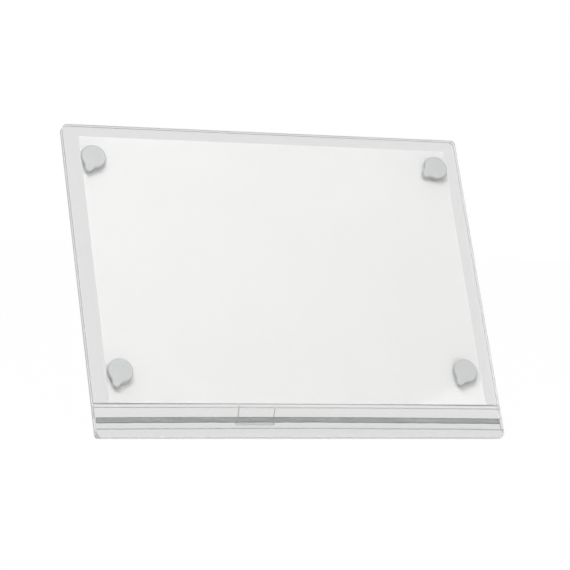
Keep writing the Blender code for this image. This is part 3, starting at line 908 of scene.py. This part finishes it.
def make_leg():
    """The leg narrows towards the floor, and its end is cut level."""
    low, high = laid_box("support_leg", LEG_PLACE)
    middle_y = (low.y + high.y) / 2
    to_floor = (HINGE_AXIS.z + middle_y * sin(LEG_RAKE)) / cos(LEG_RAKE)
    bm = box_bm((low.x, low.y, -to_floor), high)
    for vert in bm.verts:
        if vert.co.z < -to_floor / 2:
            vert.co.x = LEG_END_HALF * (1 if vert.co.x > 0 else -1)
    round_corners(bm, CORNER_R, lambda co: co.z > -to_floor / 2)
    slice_level(bm, FOOT_HIGH[2] + GAP, LEG_PLACE)
    bm = carve(bm, screw_holes())
    soften(bm, ARRIS)
    finish_piece("clear_support_leg", bm, [LEG_FACE, LEG_EDGE], "leg", "support_leg",
                 LEG_PLACE,
                 material_of=lambda face: 0 if abs(face.normal.y) > 0.9 else 1)


def make_foot():
    """A soft strip with rounded edges and three grip grooves across its sole."""
    low, high = laid_box("leg_foot", LEG_PLACE)
    leg_low, leg_high = laid_box("support_leg", LEG_PLACE)
    middle_y = (leg_low.y + leg_high.y) / 2
    bm = box_bm((low.x, middle_y - FOOT_HALF_DEPTH, low.z - FOOT_HALF_DEPTH),
                (high.x, middle_y + FOOT_HALF_DEPTH, high.z + FOOT_HALF_DEPTH))
    round_corners(bm, FOOT_CORNER_R, lambda co: True, segments=4)
    slice_level(bm, FOOT_LOW[2], LEG_PLACE)
    slice_level(bm, FOOT_HIGH[2], LEG_PLACE, keep_above=False)
    soften(bm, FOOT_EDGE, segments=3)
    back = LEG_PLACE.inverted()
    reach = Vector((FOOT_HIGH[0] + GRIP_PAST, 0.0, 0.0))
    grooves = []
    for step in (-1, 0, 1):
        middle = Vector((0.0, (FOOT_LOW[1] + FOOT_HIGH[1]) / 2 + step * GRIP_PITCH, FOOT_LOW[2]))
        grooves.append(rod_bm(GRIP_R, back @ (middle - reach), back @ (middle + reach), steps=16))
    bm = carve(bm, grooves)
    finish_piece("rubber_leg_strip", bm, [CLEAR_RUBBER], "leg", "leg_foot",
                 LEG_PLACE, smooth=35)


make_back_panel()
make_front_cover()
make_bottom_rail()
make_foam_strip()
make_card()
for corner in PLACES:
    make_pad(corner)
    make_magnet(corner)
    make_keeper(corner)
make_hinge_pad()
make_fixed_leaf()
make_pin()
make_leg_leaf()
make_screws()
make_leg()
make_foot()


# ---------------------------------------------------------------- floor, light and camera
BEHIND = (0.90, 0.90, 0.898)         # the studio as the clear plastic bends and mirrors it
IN_FRONT = (0.74, 0.742, 0.742)
OVERHEAD = (0.34, 0.345, 0.35)


def make_floor():
    """A pale sweep: white to the eye, with only a faint shadow where the stand touches it."""
    bm = bmesh.new()
    bmesh.ops.create_circle(bm, cap_ends=True, segments=64, radius=6.0)
    floor = object_from(bm, "pale_floor")
    material, tree, shader, vector = new_material("pale_floor")
    noise = put(add_node(tree, "ShaderNodeTexNoise"), Scale=3.0, Detail=3.0)
    tree.links.new(vector, noise.inputs["Vector"])
    tree.links.new(tone_between(tree, noise.outputs["Fac"], (0.86, 0.86, 0.86), (0.88, 0.88, 0.88)),
                   shader.inputs["Base Color"])
    shader.inputs["Roughness"].default_value = 0.9
    shader.inputs["Specular IOR Level"].default_value = 0.0
    rays = add_node(tree, "ShaderNodeLightPath")
    seen = add_node(tree, "ShaderNodeEmission")
    tree.links.new(tone_between(tree, rays.outputs["Is Camera Ray"], BEHIND, (1.0, 1.0, 1.0)),
                   seen.inputs["Color"])
    share = put(add_node(tree, "ShaderNodeMapRange"), To_Min=0.985, To_Max=0.0)
    tree.links.new(rays.outputs["Is Diffuse Ray"], share.inputs["Value"])
    both = add_node(tree, "ShaderNodeMixShader")
    tree.links.new(share.outputs["Result"], both.inputs["Fac"])
    tree.links.new(shader.outputs["BSDF"], both.inputs[1])
    tree.links.new(seen.outputs["Emission"], both.inputs[2])
    tree.links.new(both.outputs["Shader"], tree.nodes["Material Output"].inputs["Surface"])
    floor.data.materials.append(material)


def make_surroundings():
    """White to the camera; what the clear plastic bends and mirrors is a softer studio."""
    world = bpy.data.worlds.new("studio")
    bpy.context.scene.world = world
    world.use_nodes = True
    tree = world.node_tree
    white = tree.nodes["Background"]
    white.inputs["Color"].default_value = (1.0, 1.0, 1.0, 1.0)
    white.inputs["Strength"].default_value = 1.0
    facing = add_node(tree, "ShaderNodeTexCoord")
    split = add_node(tree, "ShaderNodeSeparateXYZ")
    tree.links.new(facing.outputs["Generated"], split.inputs["Vector"])
    back_share = put(add_node(tree, "ShaderNodeMapRange"), From_Min=-0.6, From_Max=0.5)
    tree.links.new(split.outputs["Y"], back_share.inputs["Value"])
    studio = add_node(tree, "ShaderNodeBackground")
    around = tone_between(tree, back_share.outputs["Result"], IN_FRONT, BEHIND)
    high_share = put(add_node(tree, "ShaderNodeMapRange"), From_Min=0.22, From_Max=0.55)
    tree.links.new(split.outputs["Z"], high_share.inputs["Value"])
    topped = add_node(tree, "ShaderNodeMix", data_type="RGBA")
    tree.links.new(high_share.outputs["Result"], topped.inputs["Factor"])
    tree.links.new(around, topped.inputs["A"])
    topped.inputs["B"].default_value = (*OVERHEAD, 1.0)
    tree.links.new(topped.outputs["Result"], studio.inputs["Color"])
    rays = add_node(tree, "ShaderNodeLightPath")
    mix = add_node(tree, "ShaderNodeMixShader")
    tree.links.new(rays.outputs["Is Camera Ray"], mix.inputs["Fac"])
    tree.links.new(studio.outputs["Background"], mix.inputs[1])
    tree.links.new(white.outputs["Background"], mix.inputs[2])
    tree.links.new(mix.outputs["Shader"], tree.nodes["World Output"].inputs["Surface"])


PANEL_MIDDLE = PANEL_PLACE @ Vector((0.0, (COVER_LOW.y + BACK_HIGH.y) / 2,
                                     (BACK_LOW.z + BACK_HIGH.z) / 2))


def direction(azimuth, elevation):
    a, e = radians(azimuth), radians(elevation)
    return Vector((sin(a) * cos(e), -cos(a) * cos(e), sin(e)))


def soft_box(name, azimuth, elevation, distance, size, power, colour):
    light = bpy.data.lights.new(name, "AREA")
    light.color = colour
    light.shape = "SQUARE"
    light.size = size
    light.energy = power
    lamp = bpy.data.objects.new(name, light)
    bpy.context.scene.collection.objects.link(lamp)
    out = direction(azimuth, elevation)
    lamp.location = PANEL_MIDDLE + out * distance
    lamp.rotation_euler = out.to_track_quat("Z", "Y").to_euler()


CAMERA_AZIMUTH = -21.94
CAMERA_ELEVATION = 2.02
CAMERA_ROLL = 2.07
CAMERA_DISTANCE = 2.1007
CAMERA_LENS = 178.47
AIM_OFFSET = Vector((0.0012, -0.0005, -0.0014))


def make_camera():
    camera = bpy.data.objects.new("camera", bpy.data.cameras.new("camera"))
    bpy.context.scene.collection.objects.link(camera)
    camera.data.lens = CAMERA_LENS
    camera.data.sensor_width = 36.0
    camera.data.clip_start = 0.05
    out = direction(CAMERA_AZIMUTH, CAMERA_ELEVATION)
    camera.location = PANEL_MIDDLE + AIM_OFFSET + out * CAMERA_DISTANCE
    level = out.to_track_quat("Z", "Y").to_matrix().to_4x4()
    rolled = level @ Matrix.Rotation(radians(CAMERA_ROLL), 4, "Z")
    camera.rotation_euler = rolled.to_euler()
    bpy.context.scene.camera = camera


make_floor()
make_surroundings()
soft_box("key_light", azimuth=-33.0, elevation=48.0, distance=1.65, size=0.85, power=10.2,
         colour=(0.985, 0.992, 1.0))
soft_box("front_light", azimuth=-5.0, elevation=18.0, distance=2.2, size=1.5, power=11.7,
         colour=(1.0, 0.992, 0.98))
soft_box("back_light", azimuth=150.0, elevation=70.0, distance=2.0, size=1.6, power=5.0,
         colour=(1.0, 1.0, 1.0))
make_camera()
bpy.context.scene.view_settings.view_transform = "Standard"
